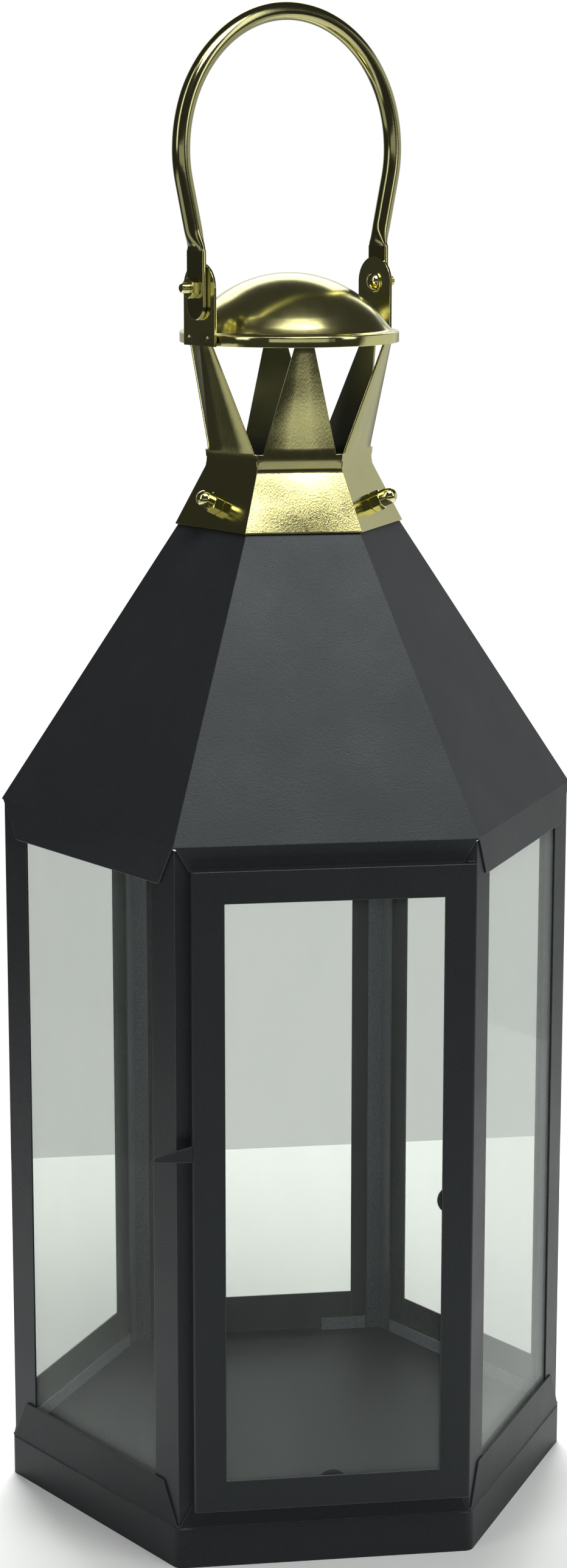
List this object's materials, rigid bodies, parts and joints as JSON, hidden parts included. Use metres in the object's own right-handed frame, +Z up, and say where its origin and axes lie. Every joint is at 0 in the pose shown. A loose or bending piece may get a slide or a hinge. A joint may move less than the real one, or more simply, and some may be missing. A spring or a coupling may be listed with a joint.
{
  "type": "candle lantern",
  "caption": "Six-sided steel and glass candle lantern with a side-hung glazed door, a vented brass crown and lid, and a swinging carrying handle.",
  "frame": {"origin": "centre of the foot's underside, on the surface the lantern stands on", "axes": "+Z up; the door faces -Y; +X to the right as seen facing the door"},
  "size_m": [0.231, 0.2067, 0.5951],
  "materials": {
    "black_steel": "fine-textured black powder coat on sheet steel",
    "brass": "brushed, lacquered brass",
    "glass": "clear float glass, slightly grey-green"
  },
  "bodies": {
    "lantern": {"plinth_band": "black_steel", "floor_tray": "black_steel", "post_right": "black_steel", "post_back_right": "black_steel", "post_back_left": "black_steel", "post_left": "black_steel", "post_front_left": "black_steel", "post_front_right": "black_steel", "glazing_bar_right": "black_steel", "glazing_bar_back_right": "black_steel", "glazing_bar_back_left": "black_steel", "glazing_bar_left": "black_steel", "glazing_bar_front_left": "black_steel", "glazing_bar_front_right": "black_steel", "ledge_right_front": "black_steel", "ledge_right_back": "black_steel", "ledge_back": "black_steel", "ledge_left_back": "black_steel", "ledge_left_front": "black_steel", "roof": "black_steel", "hinge_bracket_lower": "black_steel", "hinge_bracket_upper": "black_steel", "crown": "brass", "crown_screws": "brass", "cap_nuts": "brass", "lid": "brass", "ear_left": "brass", "ear_right": "brass", "pivot_screws": "brass", "pivot_nuts": "brass", "glass_right_front": "glass", "glass_right_back": "glass", "glass_back": "glass", "glass_left_back": "glass", "glass_left_front": "glass"},
    "handle": {"handle": "brass"},
    "door": {"door_frame": "black_steel", "door_glass": "glass", "glass_clips": "black_steel", "clip_studs": "black_steel", "door_pull": "black_steel", "hinge_pin_lower": "black_steel", "hinge_pin_upper": "black_steel"}
  },
  "joints": [
    {"name": "handle_swing", "type": "hinge", "parent": "lantern", "child": "handle", "pos_m": [0, 0, 0.48778], "axis": [0.866, 0.5, 0], "range_deg": [-118, 118]},
    {"name": "door_hinge", "type": "hinge", "parent": "lantern", "child": "door", "pos_m": [0.05364, -0.1037, 0.1518], "axis": [0, 0, 1], "range_deg": [0, 120]}
  ]
}
